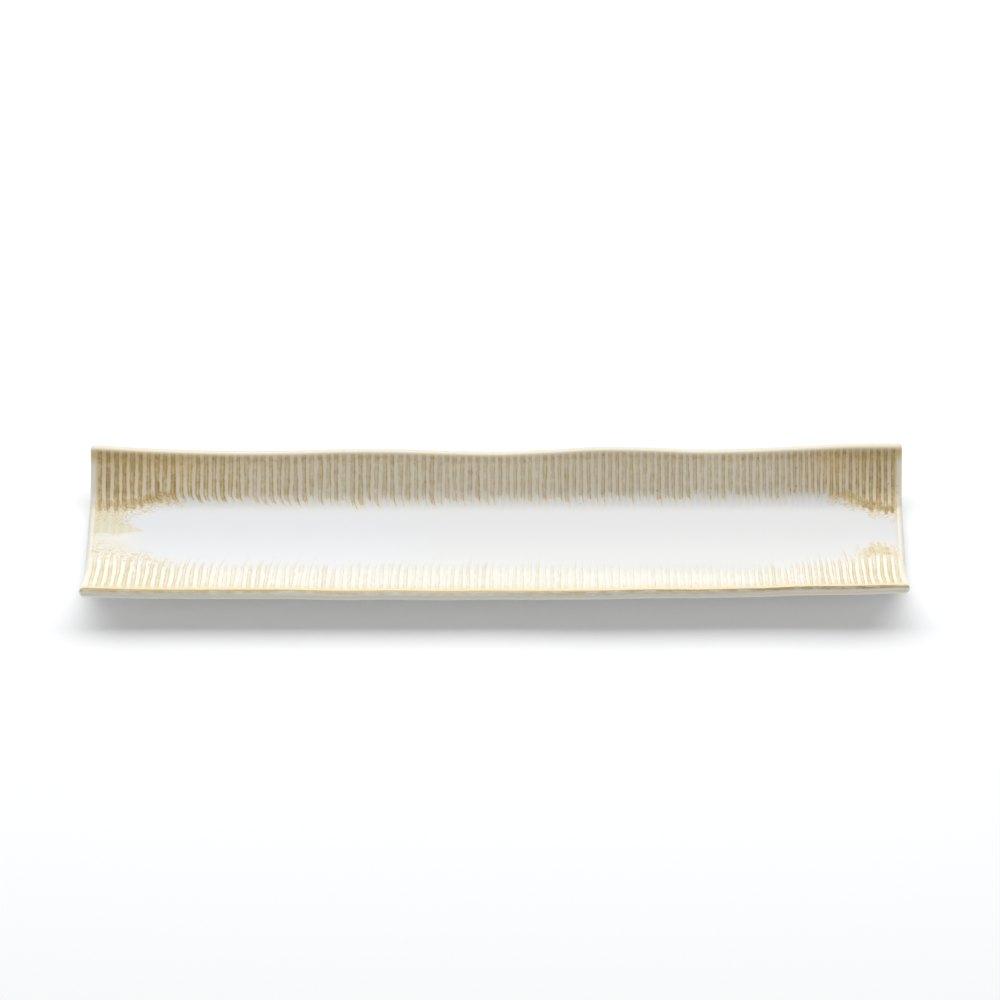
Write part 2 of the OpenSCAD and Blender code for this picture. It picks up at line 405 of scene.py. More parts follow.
def rim_line(side, share):
    """One of the rows round a half-round rim."""
    angle = wall_slope(side, station_x) + math.pi / 2 - math.pi * share
    radius = HALF_CLAY * station_clay
    to_rim = run_to_rim(side)
    return point_line(side * (rim_place(side, station_x) + radius * np.cos(angle)),
                      rim_height(side, station_x) + radius * np.sin(angle),
                      side * (to_rim + ROUND_RIM * share), -ROUND_RIM * share,
                      flute_phase(station_rib, to_rim))


# %% Weave the trough
def woven_faces(stations, loop, inner):
    """Quads round all the sections, and the faces that close both ends."""
    index = np.arange(stations * loop).reshape(stations, loop)
    across = np.roll(index, -1, axis=1)
    quads = np.stack([index[:-1], index[1:], across[1:], across[:-1]], -1)
    faces = quads.reshape(-1, 4).tolist()
    for station, flip in ((0, False), (stations - 1, True)):
        ring = index[station].tolist()
        top, under = ring[:inner], ring[inner + RIM_ROWS:2 * inner + RIM_ROWS][::-1]
        cap = [list(quad) for quad in zip(top, top[1:], under[1:], under)]
        cap.append([top[-1], *ring[inner:inner + RIM_ROWS], under[-1]])
        cap.append([under[0], *ring[2 * inner + RIM_ROWS:], top[0]])
        faces += [face[::-1] for face in cap] if flip else cap
    return faces


def write_layer(mesh, name, values):
    layer = mesh.attributes.new(name, "FLOAT", "POINT")
    layer.data.foreach_set("value", np.asarray(values, np.float32))


def make_smooth(mesh):
    mesh.polygons.foreach_set("use_smooth", np.ones(len(mesh.polygons), bool))
    mesh.validate()
    mesh.update()


def make_trough():
    """The whole trough as one closed mesh, with the places that its glaze needs."""
    rows = side_rows()
    rim_shares = [(i + 1) / (RIM_ROWS + 1) for i in range(RIM_ROWS)]
    lines = [skin_line(1, row, True) for row in reversed(rows)]
    lines.append(floor_line(True))
    lines += [skin_line(-1, row, True) for row in rows]
    lines += [rim_line(-1, share) for share in rim_shares]
    lines += [skin_line(-1, row, False) for row in reversed(rows)]
    lines.append(floor_line(False))
    lines += [skin_line(1, row, False) for row in rows]
    lines += [rim_line(1, share) for share in reversed(rim_shares)]

    grid, places = (np.stack(stacked, 1) for stacked in zip(*lines))
    inner = 2 * len(rows) + 1
    mesh = bpy.data.meshes.new("trough")
    mesh.from_pydata(grid.reshape(-1, 3).tolist(), [], woven_faces(*grid.shape[:2], inner))
    unwrap(mesh, grid, inner)
    girth, below, rib = places.reshape(-1, 3).T
    write_layer(mesh, "girth", girth / MM)
    write_layer(mesh, "below_rim", below / MM)
    write_layer(mesh, "rib", rib)
    make_smooth(mesh)
    return add_to_scene("trough", mesh)


trough = make_trough()
print("trough:", len(trough.data.polygons), "faces")

# %% [markdown]
# ## The foot
#
# A plate like this stands on a low ring, a strip of clay luted on before the glaze. It is
# wiped clean so that it doesn't stick to the kiln shelf: the glaze stops a millimetre above
# the table in a rounded bead, and below it the tan clay is bare. The ring could be a
# bevelled curve, but a section carried round a rounded rectangle keeps control of the bead.

# %% The foot ring
FOOT_LENGTH, FOOT_WIDTH, FOOT_ROOT, FOOT_CORNER = 356 * MM, 34 * MM, 4.4 * MM, 10 * MM
CORNER_STEPS = 12
RUN_STEP = 4 * MM
BARE_ROWS = 4
FOOT_BELOW_RIM = -60
CORNER_SIGNS = ((1, 1), (-1, 1), (-1, -1), (1, -1))
FOOT_PROFILE = [(0.55, 0), (1.1, 0), (1.32, 0.1), (1.5, 0.45), (1.72, 0.97), (1.88, 1.02),
                (2.02, 1.16), (2.12, 1.45), (2.22, 1.9), (2.25, 3.0)]


def foot_path():
    """Places and outward directions round the ring's centre line."""
    half = np.array([FOOT_LENGTH, FOOT_WIDTH]) / 2 - FOOT_ROOT / 2 - FOOT_CORNER
    places, outward = [], []
    for quarter, signs in enumerate(CORNER_SIGNS):
        angles = math.pi / 2 * (quarter + np.arange(CORNER_STEPS + 1) / CORNER_STEPS)
        middle = half * signs
        facing = np.stack([np.cos(angles), np.sin(angles)], 1)
        places.append(middle + FOOT_CORNER * facing)
        outward.append(facing)
        following = half * CORNER_SIGNS[(quarter + 1) % len(CORNER_SIGNS)]
        steps = int(np.abs(following - middle).max() / RUN_STEP)
        share = np.arange(1, steps)[:, None] / steps
        places.append(places[-1][-1] + (following - middle) * share)
        outward.append(np.repeat(facing[-1:], steps - 1, 0))
    return np.concatenate(places) + (0, FLOOR_MIDDLE_Y), np.concatenate(outward)


def make_foot():
    """The ring's section, given in millimetres, carried along its path."""
    places, outward = foot_path()
    profile = [(-across, up) for across, up in FOOT_PROFILE[::-1]] + FOOT_PROFILE
    columns = [np.column_stack([places + outward * across * MM, np.full(len(places), up * MM)])
               for across, up in profile]
    grid = np.stack(columns, 1)
    index = np.arange(grid.shape[0] * grid.shape[1]).reshape(grid.shape[:2])
    onward = np.roll(index, -1, axis=0)
    quads = np.stack([index[:, :-1], index[:, 1:], onward[:, 1:], onward[:, :-1]], -1)

    mesh = bpy.data.meshes.new("foot_ring")
    mesh.from_pydata(grid.reshape(-1, 3).tolist(), [], quads.reshape(-1, 4).tolist())
    strip = np.abs(np.arange(len(profile) - 1) - (len(profile) / 2 - 1))
    bare = np.tile(strip <= BARE_ROWS, len(places))
    mesh.polygons.foreach_set("material_index", bare.astype(int))
    write_layer(mesh, "below_rim", np.full(len(mesh.vertices), FOOT_BELOW_RIM))
    make_smooth(mesh)
    return add_to_scene("foot_ring", mesh)


foot = make_foot()
print("foot ring:", len(foot.data.polygons), "faces")

# %% [markdown]
# ## Where the glaze ran
#
# The white glaze ran down the walls in the kiln and pooled on the floor. A few things
# about that change slowly along the plate: how far up the pool reaches, how dark the thin
# glaze above it went, how full of colour each flute is, how far the last drips lean, and
# where the ochre line lies on the near lip, how strong and how wide it is. They are easiest
# to say as short lists of places and values, stored on the mesh as attributes.

# %% Pairs of millimetres along the plate and a value
FAR_REACH = [(-200, 13.2), (-190, 13.6), (-180, 14.6), (-172, 17), (-165, 19.4), (-140, 18.4),
             (-100, 17.1), (-50, 16.8), (-20, 17.5), (0, 17.9), (30, 18.4), (50, 19.5),
             (100, 20.6), (140, 21), (160, 21.5), (171, 21), (175, 19.5), (179, 17),
             (184, 14.4), (190, 13), (194, 13), (200, 15.5)]
NEAR_REACH = [(-200, 7), (-185, 8), (-172, 12), (-160, 15), (-100, 15.5), (0, 15), (50, 16.5),
              (100, 18), (120, 18), (140, 15.5), (155, 14), (168, 12.5), (180, 8.5), (188, 5),
              (193, 8), (200, 10)]
FAR_STAIN = [(-200, 1), (-120, 0.95), (0, 0.92), (120, 0.92), (200, 0.9)]
NEAR_STAIN = [(-200, 0.46), (-160, 0.44), (-40, 0.44), (80, 0.42), (120, 0.44), (160, 0.50),
              (200, 0.56)]
FAR_FILL = [(-200, 1), (-165, 0.95), (-145, 0.7), (-100, 0.5), (0, 0.34), (100, 0.36),
            (140, 0.45), (165, 0.85), (200, 0.95)]
NEAR_FILL = [(-200, 0.95), (-160, 0.85), (-120, 0.6), (0, 0.4), (100, 0.34), (150, 0.7),
             (200, 1)]
FAR_LEAN = [(-200, 0), (-180, 0.1), (-160, 0.26), (-110, 0.24), (-80, 0.12), (0, 0.08),
            (60, 0.04), (200, 0)]
NEAR_LEAN = [(-200, 0.02), (-150, 0.09), (-60, 0.07), (20, 0.02), (100, -0.02), (170, -0.07),
             (200, -0.02)]
LEAN_START = 8.0
LIP_LINE = [(-200, -0.3), (-150, -0.1), (-100, 0.2), (-10, 0.2), (30, -0.3), (120, -0.5),
            (160, -0.6), (200, -1.0)]
LIP_STRENGTH = [(-200, 1), (-150, 1), (-100, 0.95), (-65, 0.55), (10, 0.55), (30, 0.85),
                (110, 0.85), (140, 1), (186, 1), (196, 0.5), (200, 0.4)]
LIP_WIDTH = [(-200, 1.7), (-40, 1.8), (50, 1.3), (110, 1.3), (150, 1.7), (200, 1.6)]


# %% Store them on the mesh
def at_places(pairs, x):
    """Values between (millimetres along the plate, value) pairs."""
    places, values = zip(*pairs)
    return np.interp(x, places, values)


def read_layer(mesh, name):
    values = np.zeros(len(mesh.vertices), np.float32)
    mesh.attributes[name].data.foreach_get("value", values)
    return values.astype(float)


def mark_glaze(mesh):
    """Stores the glaze's slow changes on the mesh, lengths in millimetres."""
    places = np.zeros(len(mesh.vertices) * 3, np.float32)
    mesh.vertices.foreach_get("co", places)
    x = places.reshape(-1, 3)[:, 0].astype(float) / MM
    girth, rib = read_layer(mesh, "girth"), read_layer(mesh, "rib")

    def both(far_pairs, near_pairs):
        return np.where(girth > 0, at_places(far_pairs, x), at_places(near_pairs, x))

    above = np.abs(girth) - both(FAR_REACH, NEAR_REACH)
    bent = np.clip(LEAN_START - above, 0, 2 * LEAN_START) ** 2 / (2 * LEAN_START)
    layers = {
        "along": x,
        "above_pool": above,
        "stain": both(FAR_STAIN, NEAR_STAIN),
        "fill": both(FAR_FILL, NEAR_FILL),
        "drip": rib - both(FAR_LEAN, NEAR_LEAN) * bent,
        "lip_line": at_places(LIP_LINE, x),
        "lip_strength": at_places(LIP_STRENGTH, x),
        "lip_width": at_places(LIP_WIDTH, x),
    }
    for name, values in layers.items():
        write_layer(mesh, name, values)
    return layers


glaze_layers = mark_glaze(trough.data)
print("stored on the trough:", ", ".join(glaze_layers))

# %% [markdown]
# ## Small helpers for shader nodes
#
# A procedural glaze is a lot of arithmetic. Written node by node it fills pages, so a
# small writer adds one node for each call, plugs in sockets or plain numbers, and hands
# back its output.

# %% A writer for node trees
class Nodes:
    """Adds nodes to a tree. Most values may be a plain number or another node's output."""

    def __init__(self, tree):
        self.tree = tree

    def plug(self, value, socket):
        if isinstance(value, bpy.types.NodeSocket):
            self.tree.links.new(value, socket)
        elif isinstance(value, tuple) and len(socket.default_value) > len(value):
            socket.default_value = (*value, 1)
        else:
            socket.default_value = value

    def math(self, operation, *values):
        node = self.tree.nodes.new("ShaderNodeMath")
        node.operation = operation
        for value, socket in zip(values, node.inputs):
            self.plug(value, socket)
        return node.outputs["Value"]

    def add(self, *values):
        total = values[0]
        for value in values[1:]:
            total = self.math("ADD", total, value)
        return total

    def times(self, *values):
        total = values[0]
        for value in values[1:]:
            total = self.math("MULTIPLY", total, value)
        return total

    def minus(self, value, other):
        return self.math("SUBTRACT", value, other)

    def most(self, value, other):
        return self.math("MAXIMUM", value, other)

    def between(self, share, at_zero, at_one):
        """A straight line through two plain numbers, for a share of 0 and a share of 1."""
        return self.math("MULTIPLY_ADD", share, at_one - at_zero, at_zero)

    def swing(self, noise, width):
        """Noise between 0 and 1, spread over a width on both sides of 0."""
        return self.between(noise, -width / 2, width / 2)

    def away(self, value, place):
        """How far a value is from a place."""
        return self.math("ABSOLUTE", self.minus(value, place))

    def ramp(self, value, start, end, out_start=0.0, out_end=1.0):
        """A soft ramp: out_start where value is at start, out_end where it is at end."""
        node = self.tree.nodes.new("ShaderNodeMapRange")
        node.interpolation_type = "SMOOTHSTEP"
        named = {"Value": value, "From Min": start, "From Max": end, "To Min": out_start,
                 "To Max": out_end}
        for name, given in named.items():
            self.plug(given, node.inputs[name])
        return node.outputs["Result"]

    def layer(self, name):
        """One of the mesh's stored attributes."""
        node = self.tree.nodes.new("ShaderNodeAttribute")
        node.attribute_name = name
        return node.outputs["Fac"]

    def point(self, x=0.0, y=0.0, z=0.0):
        node = self.tree.nodes.new("ShaderNodeCombineXYZ")
        for value, socket in zip((x, y, z), node.inputs):
            self.plug(value, socket)
        return node.outputs["Vector"]

    def parts(self, vector):
        """The three numbers of a point or a colour."""
        node = self.tree.nodes.new("ShaderNodeSeparateXYZ")
        self.plug(vector, node.inputs[0])
        return node.outputs

    def noise(self, place, scale=1.0, detail=2.0, roughness=0.5):
        node = self.tree.nodes.new("ShaderNodeTexNoise")
        for name, given in (("Vector", place), ("Scale", scale), ("Detail", detail),
                            ("Roughness", roughness)):
            self.plug(given, node.inputs[name])
        return node.outputs["Fac"]

    def cells(self, place, scale):
        """Distance to the nearest of many scattered points, and a random number for each."""
        node = self.tree.nodes.new("ShaderNodeTexVoronoi")
        self.plug(place, node.inputs["Vector"])
        self.plug(scale, node.inputs["Scale"])
        return node.outputs["Distance"], self.parts(node.outputs["Color"])[0]

    def chances(self, *coordinates):
        """Three random numbers that stay the same wherever the coordinates do."""
        node = self.tree.nodes.new("ShaderNodeTexWhiteNoise")
        self.plug(self.point(*coordinates), node.inputs["Vector"])
        return self.parts(node.outputs["Color"])

    def mix(self, share, a, b):
        """A colour: a where share is 0 and b where it is 1."""
        node = self.tree.nodes.new("ShaderNodeMix")
        node.data_type = "RGBA"
        for value, socket in ((share, node.inputs[0]), (a, node.inputs[6]), (b, node.inputs[7])):
            self.plug(value, socket)
        return node.outputs[2]

    def bump(self, height, distance):
        """A normal that tilts as if the surface rose by height times distance."""
        node = self.tree.nodes.new("ShaderNodeBump")
        self.plug(distance, node.inputs["Distance"])
        self.plug(height, node.inputs["Height"])
        return node.outputs["Normal"]


# %% [markdown]
# ## Iron specks
#
# Grains of iron in the clay melt into small dark specks. They show in the bare clay and
# through the glaze alike, so both materials share one node group. A texture of cells gives
# the places. Each cell has a random number: where it is low there is no speck, and above
# that the speck is larger the higher the number is.

# %% A node group for the specks
NO_SPECK, LARGEST_SPECK = 0.5, 1.0
SPECK_CORE = 0.4


def speck_group():
    """Place and Spacing in millimetres, Size of the largest speck; Specks is 1 inside one."""
    tree = bpy.data.node_groups.new("iron_specks", "ShaderNodeTree")
    tree.interface.new_socket("Place", in_out="INPUT", socket_type="NodeSocketVector")
    for name in ("Spacing", "Size"):
        tree.interface.new_socket(name, in_out="INPUT", socket_type="NodeSocketFloat")
    tree.interface.new_socket("Specks", in_out="OUTPUT", socket_type="NodeSocketFloat")
    given = tree.nodes.new("NodeGroupInput").outputs
    n = Nodes(tree)
    distance, chance = n.cells(given["Place"], n.math("DIVIDE", 1.0, given["Spacing"]))
    radius = n.times(given["Size"], n.ramp(chance, NO_SPECK, LARGEST_SPECK))
    inside = n.ramp(n.times(distance, given["Spacing"]), radius, n.times(radius, SPECK_CORE))
    tree.links.new(inside, tree.nodes.new("NodeGroupOutput").inputs["Specks"])
    return tree


specks_tree = speck_group()
print("group", specks_tree.name, "has", len(specks_tree.nodes), "nodes")


def iron_specks(n, place, spacing, size):
    """The specks, as an output in another tree."""
    node = n.tree.nodes.new("ShaderNodeGroup")
    node.node_tree = specks_tree
    for name, value in (("Place", place), ("Spacing", spacing), ("Size", size)):
        n.plug(value, node.inputs[name])
    return node.outputs["Specks"]


# %% [markdown]
# ## A spot on the glaze
#
# One coat of glaze shows many colours here. Where it pooled it is thick and white, on the
# ribs it is cream, and in the flutes, where it ran thin over the clay, it is tan to ochre.
# An image could hold all this, but nodes stay sharp at any distance and bake to any size.
#
# All the steps that follow ask the same few things of a spot on the plate: where it lies,
# on which side, how full its flute is, and two soft noises. They are read once.

# %% What a spot knows
FULL_FLUTES = (0.4, 0.9)


class Spot:
    """Places in millimetres; far and near are 1 on their own side and 0 on the other."""

    def __init__(self, n):
        self.x, self.girth = n.layer("along"), n.layer("girth")
        self.below, self.above = n.layer("below_rim"), n.layer("above_pool")
        self.drip, self.fill = n.layer("drip"), n.layer("fill")
        self.full = n.ramp(self.fill, *FULL_FLUTES)
        self.side = n.math("SIGN", self.girth)
        self.far = n.between(self.side, 0.5, 1.0)
        self.near = n.between(self.side, 0.5, 0.0)
        self.surface = n.point(self.x, self.girth)
        self.mottle = n.noise(self.surface, 0.35, 4.0, 0.6)
        self.fine = n.noise(self.surface, 2.2, 2.0, 0.6)


# %% [markdown]
# ## The pool and the ribs
#
# The pool is white with a trace of blue towards the left. It is painted a little darker on
# the far side than on the near side: painted shade, where the far wall keeps some light off
# the floor. It turns to cream where it thins out near the two ends. The ribs of the far wall
# are tan under the rim and cream lower down where their flutes are full, greyer elsewhere,
# and nearly white beside the pool. The near wall faces the light, and its ribs are pale all
# the way up.

# %% Colours of the pool and the ribs
# The far colours of the pool are darker than the near ones: painted shade on the far half of the
# floor.
POOL_FAR_PAINTED_SHADE = (0.65, 0.652, 0.655)
POOL_NEAR = (0.725, 0.728, 0.725)
POOL_BLUE_FAR_PAINTED_SHADE = (0.65, 0.66, 0.68)
POOL_BLUE_NEAR = (0.735, 0.745, 0.77)
POOL_CREAM = (0.76, 0.73, 0.665)
RIB_GREY = (0.68, 0.615, 0.49)
RIB_TAN = (0.69, 0.59, 0.43)
RIB_CREAM = (0.765, 0.68, 0.51)
RIB_LOW = (0.665, 0.645, 0.585)
RIB_PALE = (0.90, 0.88, 0.80)
BLUE_FROM, LEFT_CREAM, RIGHT_CREAM = (-20.0, -60.0), (-169.0, -188.0), (160.0, 186.0)


def pool_colour(n, spot):
    # Painted shade: the pool's white darkens from the near side towards the far wall.
    nearer = n.ramp(spot.girth, 11.0, -15.0)
    white = n.mix(nearer, POOL_FAR_PAINTED_SHADE, POOL_NEAR)
    blue = n.mix(nearer, POOL_BLUE_FAR_PAINTED_SHADE, POOL_BLUE_NEAR)
    tinted = n.mix(n.times(n.ramp(spot.x, *BLUE_FROM), 0.7), white, blue)
    left = n.times(n.ramp(spot.x, *LEFT_CREAM), n.ramp(spot.girth, 2.5, 1.0))
    right = n.times(n.ramp(spot.x, *RIGHT_CREAM), n.ramp(spot.girth, 1.0, -6.0), 0.6)
    return n.mix(n.most(left, right), tinted, POOL_CREAM)


def rib_colour(n, spot):
    full_rib = n.mix(n.ramp(spot.below, 9.0, 17.0), RIB_TAN, RIB_CREAM)
    rib = n.mix(spot.full, RIB_GREY, full_rib)
    return n.mix(n.ramp(spot.above, 15.0, 2.0), rib, RIB_LOW)


# %% [markdown]
# ## How the colour sits in the flutes
#
# Along a flute the stain is a band with a darker line down each side, the one on the right
# usually stronger. Towards the pool the band thins out first and the lines last, which
# gives ragged, tapered drips. One number does this: a "strength" built from the lines,
# the band and streaky noise, and a threshold that it has to pass, which rises towards the
# pool. Places across a flute are shares of its pitch.

# %% Lines and bands of the flutes
RAGGED_SCALE, BLOTCH_SCALE, STREAK_SCALE = (1.3, 0.35, 1.0), (1.1, 0.24, 3.1), (5.2, 0.2, 7.3)
LINE_PLACE, LINE_HALF, LINE_CORE = 0.19, 0.09, 0.01
NARROW_HALF, WIDE_HALF = 0.21, 0.31


def flute_noise(n, spot, scale, detail, roughness):
    """Noise with its own scale across the flutes, down them and from side to side."""
    place = n.point(*map(n.times, (spot.drip, spot.girth, spot.side), scale))
    return n.noise(place, 1.0, detail, roughness)


def flute_lines(n, spot, across, right_chance, left_chance):
    """The dark lines down both sides of a flute."""
    right = n.times(n.ramp(n.away(across, LINE_PLACE), LINE_HALF, LINE_CORE),
                    n.between(right_chance, 0.75, 1.3))
    left = n.times(n.ramp(n.away(across, -LINE_PLACE), LINE_HALF, LINE_CORE),
                   n.between(left_chance, 0.2, 1.1), n.ramp(spot.fill, 0.45, 0.7, 0.55, 1.0))
    return n.most(right, left)


def flute_cover(n, spot, height, off, half, lines, streak):
    """1 where the strength passes the threshold that rises towards the pool."""
    soft = n.between(spot.near, 0.11, 0.20)
    band = n.ramp(off, n.add(half, soft), n.minus(half, soft))
    inside = n.ramp(off, n.add(half, 0.14), half)
    strength = n.most(lines, n.times(band, n.between(spot.fill, 0.38, 1.0)))
    strength = n.add(strength, n.times(inside, streak))
    least = n.ramp(height, n.between(spot.near, -3.0, -8.0), 8.0, 1.35, 0.06)
    return n.ramp(strength, least, n.add(least, 0.5))


# %% [markdown]
# ## How deep that colour is
#
# A full flute is darker than an empty one. Its lines and streaks add to that, a pale core
# takes some away, and each flute has its own tone. Full flutes darken towards the pool on
# the far wall. The near ones darken just under the rim.

# %% Depth of the flutes' colour
def flute_depth(n, spot, off, lines, streak, blotch, tone):
    low_down = n.times(n.ramp(spot.above, 14.0, 3.0), n.ramp(spot.fill, 0.6, 0.95),
                       n.between(spot.near, 0.16, -0.10))
    high_up = n.times(n.ramp(spot.below, 8.0, 2.5), spot.near, 0.32)
    mottled = n.add(n.between(spot.fill, 0.35, 0.70), n.times(spot.near, -0.4))
    pale_core = n.times(n.ramp(off, 0.14, 0.03), n.ramp(spot.fill, 1.0, 0.85),
                        n.ramp(spot.fill, 0.45, 0.65), -0.12)
    depth = n.add(n.between(spot.fill, 0.20, 0.58), n.times(streak, 0.45), n.times(lines, 0.34),
                  n.swing(tone, 0.22), n.times(blotch, mottled), low_down, high_up, pale_core)
    return n.most(depth, 0.06)


def flute_pattern(n, spot):
    """How strongly the flutes are stained, and the height above the pool's ragged edge."""
    number = n.math("FLOOR", spot.drip)
    reach_chance, width_chance, middle_chance = n.chances(number, spot.side)
    right_chance, left_chance, tone = n.chances(number, spot.side, 1.0)
    ragged = flute_noise(n, spot, RAGGED_SCALE, 3.0, 0.6)
    blotch = n.swing(flute_noise(n, spot, BLOTCH_SCALE, 4.0, 0.65), 2.4)
    streak = n.swing(flute_noise(n, spot, STREAK_SCALE, 3.0, 0.6), 1.6)
    height = n.add(spot.above, n.between(reach_chance, -2.4, 2.0), n.swing(ragged, 5.0))

    middle = n.add(n.between(middle_chance, 0.45, 0.55), n.times(blotch, 0.05))
    across = n.minus(n.math("FRACT", spot.drip), middle)
    off = n.math("ABSOLUTE", across)
    half = n.add(n.between(width_chance, NARROW_HALF, WIDE_HALF), n.times(ragged, 0.14),
                 n.times(spot.fill, -0.07), n.times(spot.near, -0.035))
    lines = flute_lines(n, spot, across, right_chance, left_chance)
    covered = flute_cover(n, spot, height, off, half, lines, streak)
    return n.times(covered, flute_depth(n, spot, off, lines, streak, blotch, tone)), height


# %% [markdown]
# ## The collar under the far rim
#
# On the far side the glaze broke to a mottled ochre band just under the rim, over
# ribs and flutes alike. It fades a few millimetres down the wall, and is deepest and
# strongest near both ends of the plate.

# %% The collar
COLLAR_TOP = 3.4
SHORT_COLLAR, LONG_COLLAR = 6.2, 8.8


def collar_share(n, spot):
    """1 inside the collar, 0 well below it."""
    ragged = n.add(spot.below, n.swing(spot.mottle, 5.0))
    end = n.between(spot.fill, SHORT_COLLAR, LONG_COLLAR)
    return n.times(n.ramp(ragged, end, COLLAR_TOP), spot.far)


def with_collar(n, spot, flutes, collar):
    """The collar's own stain, over flutes that it partly hides."""
    tone = n.add(n.between(spot.fill, -0.10, 0.40), n.swing(spot.mottle, 1.3))
    left_over = n.times(flutes, n.between(collar, 1.0, 0.68))
    return n.add(left_over, n.times(collar, n.most(tone, 0.05)))


# %% [markdown]
# ## Curls at the pool's edge
#
# Where the glaze crept over the ends of the flutes it dragged the stain into fine curls.
# The level lines of a soft noise curl just like that, so each of a few levels of it is
# drawn as a thin line, and only beside the pool's edge near the ends of the plate. They reach
# furthest into the pool at the left end. Just above them on the far side the stain spread
# over the ribs as well, in uneven blots with a lobe in each flute. On the near side such
# blots only cap the drips next to the right end.

# %% Curls and blots
CURL_ALONG, CURL_ACROSS = 0.13, 0.33
CURL_LEVELS = 9.0
LONG_CURLS, DARK_BLOTS = (-190.0, -165.0), (150.0, 185.0)
CAPS_START, CAPS_END = (168.0, 183.0), (197.0, 190.0)


def curls(n, spot, height, lines):
    """How strongly the curled lines show."""
    reach = n.ramp(spot.x, *LONG_CURLS, -13.0, -5.5)
    beside = n.times(n.ramp(height, reach, 0.0), n.ramp(height, 6.5, 2.5),
                     n.ramp(spot.fill, 0.72, 0.92))
    return n.times(lines, beside, n.between(spot.far, 0.32, 0.42))


def blots(n, spot, soft, lines):
    """How strongly the blots show."""
    lobes = n.away(n.math("FRACT", spot.drip), 0.45)
    edge = n.add(spot.above, n.swing(spot.mottle, 7.0), n.times(lobes, -5.0),
                 n.times(spot.near, 2.5))
    caps = n.times(n.ramp(spot.x, *CAPS_START), n.ramp(spot.x, *CAPS_END), 0.5)
    blotted = n.times(n.ramp(edge, -0.5, 1.4), n.ramp(edge, 7.0, 3.5),
                      n.ramp(spot.fill, 0.80, 0.94), n.most(spot.far, caps))
    strong = n.times(n.ramp(spot.x, *DARK_BLOTS, 0.36, 0.72), n.between(soft, -0.2, 2.2))
    return n.times(blotted, n.add(strong, n.times(lines, 0.4)))


def curls_and_blots(n, spot, height):
    place = n.point(n.times(spot.x, CURL_ALONG), n.times(spot.girth, CURL_ACROSS))
    soft = n.noise(place, 1.0, 1.2, 0.4)
    level = n.away(n.math("FRACT", n.times(soft, CURL_LEVELS)), 0.5)
    lines = n.ramp(level, 0.30, 0.05)
    return n.most(curls(n, spot, height, lines), blots(n, spot, soft, lines))


# %% [markdown]
# ## The left end
#
# At the left end the pool is thin over the floor. A pale yellow wash shows there, with
# a tongue that points into the white. The tongue is drawn as a wedge: a place counts as
# inside where its distance from the tongue's middle line is less than the wedge is wide
# there. Noise frays the edges of both, and the ribs show through as paler stripes.

# %% The yellow wash
WASH_YELLOW = (0.63, 0.59, 0.385)
WASH_TIP, TONGUE_BASE, TONGUE_TAIL = -171.0, -184.0, -188.0
TONGUE_MIDDLE, TONGUE_DRIFT, TONGUE_SPREAD = 3.0, 0.2, 0.31
WASH_MIDDLE, WASH_HALF = 8.4, 6.6


def tongue(n, spot):
    """1 inside the wedge that points into the white."""
    back = n.minus(WASH_TIP, n.add(spot.x, n.swing(spot.fine, 1.6)))
    middle_line = n.add(n.times(back, TONGUE_DRIFT), TONGUE_MIDDLE)
    off = n.away(n.add(spot.girth, n.swing(spot.mottle, 3.0)), middle_line)
    inset = n.minus(n.times(back, TONGUE_SPREAD), off)
    return n.times(n.ramp(inset, -0.2, 0.6), n.ramp(spot.x, TONGUE_TAIL, TONGUE_BASE))


def wash_mask(n, spot):
    """1 where the yellow wash shows through the pool."""
    frayed = n.add(spot.x, n.swing(spot.mottle, 8.0), n.swing(spot.fine, 3.0))
    off = n.away(n.add(spot.girth, n.swing(spot.mottle, 5.0)), WASH_MIDDLE)
    wide = n.times(n.ramp(frayed, TONGUE_BASE + 1.5, TONGUE_BASE - 0.5),
                   n.ramp(off, WASH_HALF + 1.2, WASH_HALF - 0.8))
    from_flute = n.away(n.math("FRACT", n.layer("rib")), 0.5)
    return n.times(n.most(tongue(n, spot), wide), n.ramp(from_flute, 0.1, 0.4, 1.0, 0.6))


# %% [markdown]
# ## The rims
#
# Over the rims the glaze is thinnest. The far rim shows only a soft cream edge. The near wall
# warms to cream and peach just under its rim, and a broken ochre line runs along the lip,
# brown towards the right, with a few iron drops beside it. Past the line the lip has a band
# of painted shade in grey, where its face turns away from the softbox, and then it is cream.
# On the outside the glaze carries painted light: the far outside, which faces the softbox, is
# painted greyer, and the near outside, which lies in shade, nearly white. Lower down both are
# plain white.

# %% Warm cream under the rims
LIP_CREAM = (0.92, 0.81, 0.57)
LIP_WARM = (0.86, 0.69, 0.38)
FAR_LIP = (0.78, 0.74, 0.60)
WARMER_ENDS = (60.0, 160.0)


def with_warm_rims(n, spot, colour):
    warm = n.times(n.ramp(spot.below, 8.0, -0.3), spot.near)
    colour = n.mix(n.times(warm, 0.85), colour, LIP_CREAM)
    by_ends = n.ramp(n.math("ABSOLUTE", spot.x), *WARMER_ENDS, 0.7, 1.0)
    mottled = n.add(spot.below, n.swing(spot.mottle, 4.0))
    peach = n.times(n.ramp(mottled, 4.4, 0.8), spot.near, by_ends)
    colour = n.mix(n.times(peach, 0.65), colour, LIP_WARM)
    crest = n.ramp(spot.below, n.between(spot.near, 0.7, 0.0), n.between(spot.near, -1.0, -0.7))
    inner = n.ramp(spot.below, -1.7, n.between(spot.near, -0.5, -1.5))
    return n.mix(crest, colour, n.mix(inner, FAR_LIP, LIP_CREAM))


# %% The near lip and the outside
LIP_OCHRE = (0.42, 0.325, 0.145)
LIP_BROWN = (0.25, 0.17, 0.05)
# A grey of painted shade for the near lip's face just past the ochre line, where it turns away
# from the softbox.
LIP_PAINTED_SHADE = (0.48, 0.46, 0.375)
